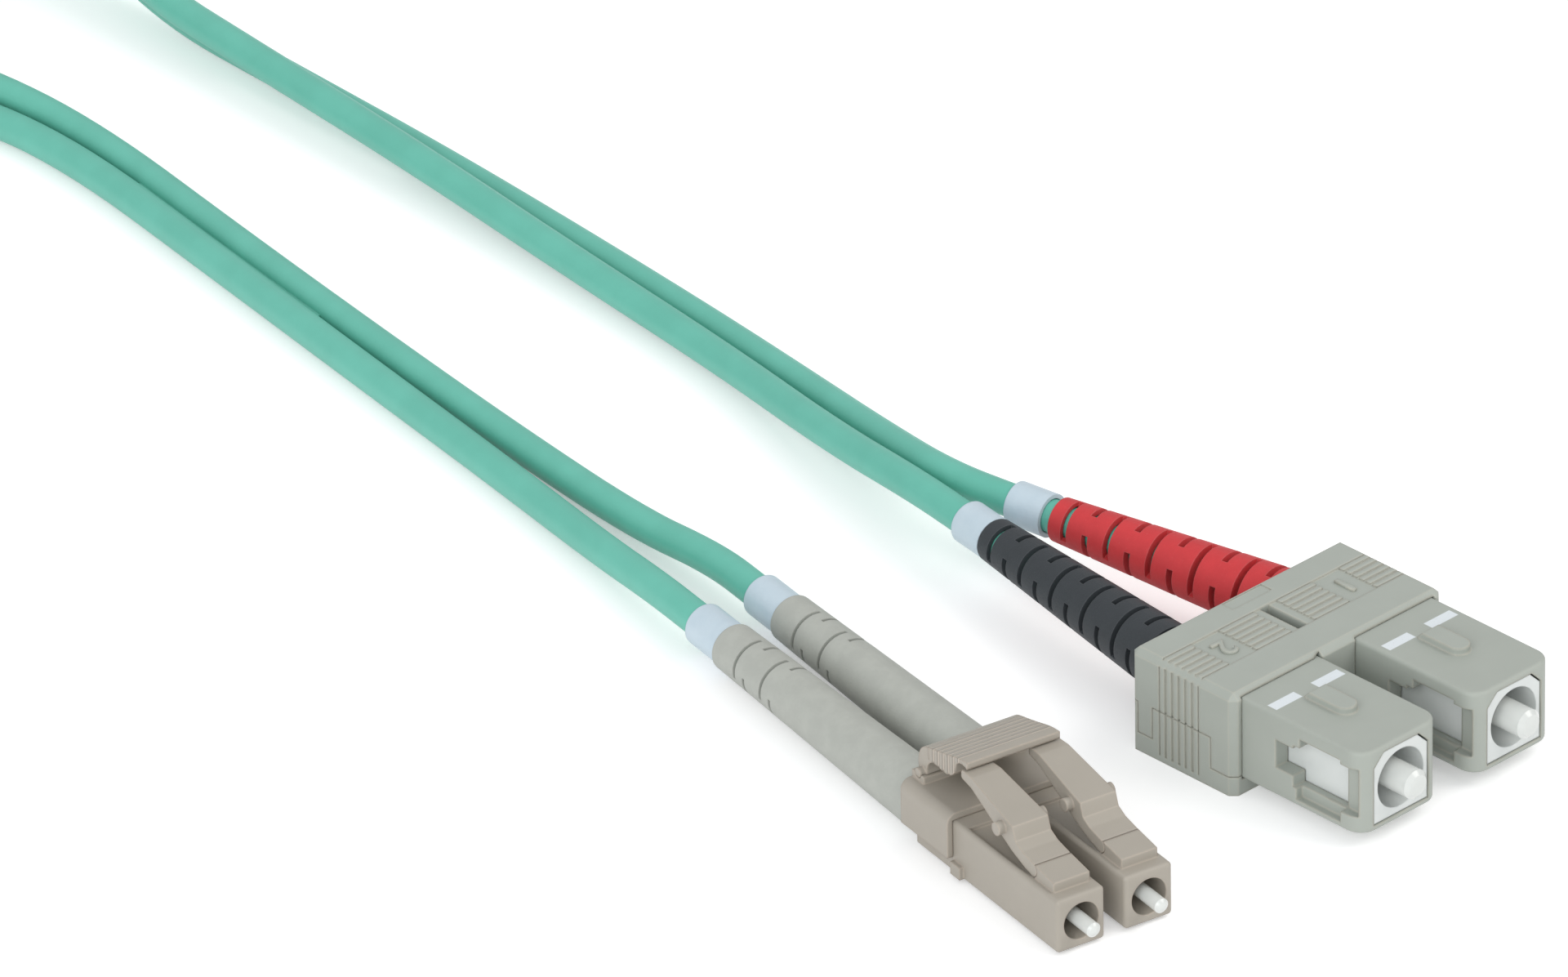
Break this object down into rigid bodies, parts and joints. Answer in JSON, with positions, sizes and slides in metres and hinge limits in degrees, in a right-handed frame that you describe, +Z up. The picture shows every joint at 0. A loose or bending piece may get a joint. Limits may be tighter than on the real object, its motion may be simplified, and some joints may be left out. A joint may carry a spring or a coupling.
{
  "type": "duplex fibre optic patch cord",
  "caption": "Duplex fibre patch cord: paired LC plugs with latches and trigger at one end, paired SC plugs in a clip at the other, aqua twin cable with a tied coil.",
  "frame": {"origin": "middle of the SC clip's underside, on the surface that the cord lies on", "axes": "+Z up; -Y is the mating direction of the SC plugs; +X runs from the plug with the black boot to the plug with the red boot"},
  "size_m": [0.0758, 0.2613, 0.0137],
  "materials": {
    "cable_jacket": "satin",
    "sc_shell": "satin",
    "lc_shell": "satin",
    "white_plastic": "satin",
    "ceramic": "polished",
    "flange_metal": "satin",
    "spring_steel": "polished",
    "crimp_metal": "satin",
    "boot_red": "matte",
    "boot_black": "matte",
    "boot_grey": "matte",
    "marker_white": "satin",
    "fibre_buffer": "satin",
    "tie_black": "matte"
  },
  "bodies": {
    "base": {"lc_clip": "lc_shell", "sc_1_plug_frame": "white_plastic", "sc_1_spring": "spring_steel", "sc_1_stop": "crimp_metal", "sc_1_crimp_ring": "crimp_metal", "sc_1_fibre": "fibre_buffer", "sc_1_boot": "boot_red", "sc_1_marker": "marker_white", "sc_1_strand_end": "cable_jacket", "sc_2_plug_frame": "white_plastic", "sc_2_spring": "spring_steel", "sc_2_stop": "crimp_metal", "sc_2_crimp_ring": "crimp_metal", "sc_2_fibre": "fibre_buffer", "sc_2_boot": "boot_black", "sc_2_marker": "marker_white", "sc_2_strand_end": "cable_jacket", "lc_1_housing": "lc_shell", "lc_1_spring": "spring_steel", "lc_1_stop": "crimp_metal", "lc_1_crimp_ring": "crimp_metal", "lc_1_fibre": "fibre_buffer", "lc_1_boot": "boot_grey", "lc_1_marker": "marker_white", "lc_1_strand_end": "cable_jacket", "lc_2_housing": "lc_shell", "lc_2_spring": "spring_steel", "lc_2_stop": "crimp_metal", "lc_2_crimp_ring": "crimp_metal", "lc_2_fibre": "fibre_buffer", "lc_2_boot": "boot_grey", "lc_2_marker": "marker_white", "lc_2_strand_end": "cable_jacket", "strand_1_lc_run": "cable_jacket", "strand_1_coil": "cable_jacket", "strand_1_sc_run": "cable_jacket", "strand_2_lc_run": "cable_jacket", "strand_2_coil": "cable_jacket", "strand_2_sc_run": "cable_jacket", "coil_tie": "tie_black"},
    "sc_grip": {"sc_clip_top": "sc_shell", "sc_clip_bottom": "sc_shell", "sc_1_sleeve": "sc_shell", "sc_2_sleeve": "sc_shell"},
    "lc_trigger": {"lc_trigger": "lc_shell"},
    "sc_ferrule_1": {"sc_1_ferrule": "ceramic", "sc_1_flange": "flange_metal"},
    "sc_ferrule_2": {"sc_2_ferrule": "ceramic", "sc_2_flange": "flange_metal"},
    "lc_ferrule_1": {"lc_1_ferrule": "ceramic", "lc_1_flange": "flange_metal"},
    "lc_latch_1": {"lc_1_latch": "lc_shell"},
    "lc_ferrule_2": {"lc_2_ferrule": "ceramic", "lc_2_flange": "flange_metal"},
    "lc_latch_2": {"lc_2_latch": "lc_shell"}
  },
  "joints": [
    {"name": "lc_trigger_press", "type": "hinge", "parent": "base", "child": "lc_trigger", "pos_m": [-0.02879, 0.00636, 0.00627], "axis": [0.9803, -0.1977, 0], "range_deg": [0, 12], "stiffness_Nm_per_rad": 0.005},
    {"name": "lc_latch_1_flex", "type": "hinge", "parent": "base", "child": "lc_latch_1", "pos_m": [-0.03503, -0.00881, 0.00562], "axis": [0.9803, -0.1977, 0], "range_deg": [-9, 0], "stiffness_Nm_per_rad": 0.01},
    {"name": "lc_latch_2_flex", "type": "hinge", "parent": "base", "child": "lc_latch_2", "pos_m": [-0.02891, -0.01004, 0.00562], "axis": [0.9803, -0.1977, 0], "range_deg": [-9, 0], "stiffness_Nm_per_rad": 0.01},
    {"name": "sc_grip_pull", "type": "slide", "parent": "base", "child": "sc_grip", "axis": [0, 1, 0], "range_m": [0, 0.0016]},
    {"name": "sc_ferrule_1_press", "type": "slide", "parent": "base", "child": "sc_ferrule_1", "axis": [0, 1, 0], "range_m": [0, 0.001], "stiffness_N_per_m": 2000, "springref_m": -0.0045, "deforming": ["sc_1_spring"]},
    {"name": "sc_ferrule_2_press", "type": "slide", "parent": "base", "child": "sc_ferrule_2", "axis": [0, 1, 0], "range_m": [0, 0.001], "stiffness_N_per_m": 2000, "springref_m": -0.0045, "deforming": ["sc_2_spring"]},
    {"name": "lc_ferrule_1_press", "type": "slide", "parent": "base", "child": "lc_ferrule_1", "axis": [0.1977, 0.9803, 0], "range_m": [0, 0.0008], "stiffness_N_per_m": 1500, "springref_m": -0.003, "deforming": ["lc_1_spring"]},
    {"name": "lc_ferrule_2_press", "type": "slide", "parent": "base", "child": "lc_ferrule_2", "axis": [0.1977, 0.9803, 0], "range_m": [0, 0.0008], "stiffness_N_per_m": 1500, "springref_m": -0.003, "deforming": ["lc_2_spring"]}
  ],
  "couplings": [
    {"joint": "lc_latch_1_flex", "follows": "lc_trigger_press", "ratio": -0.7},
    {"joint": "lc_latch_2_flex", "follows": "lc_trigger_press", "ratio": -0.7}
  ]
}
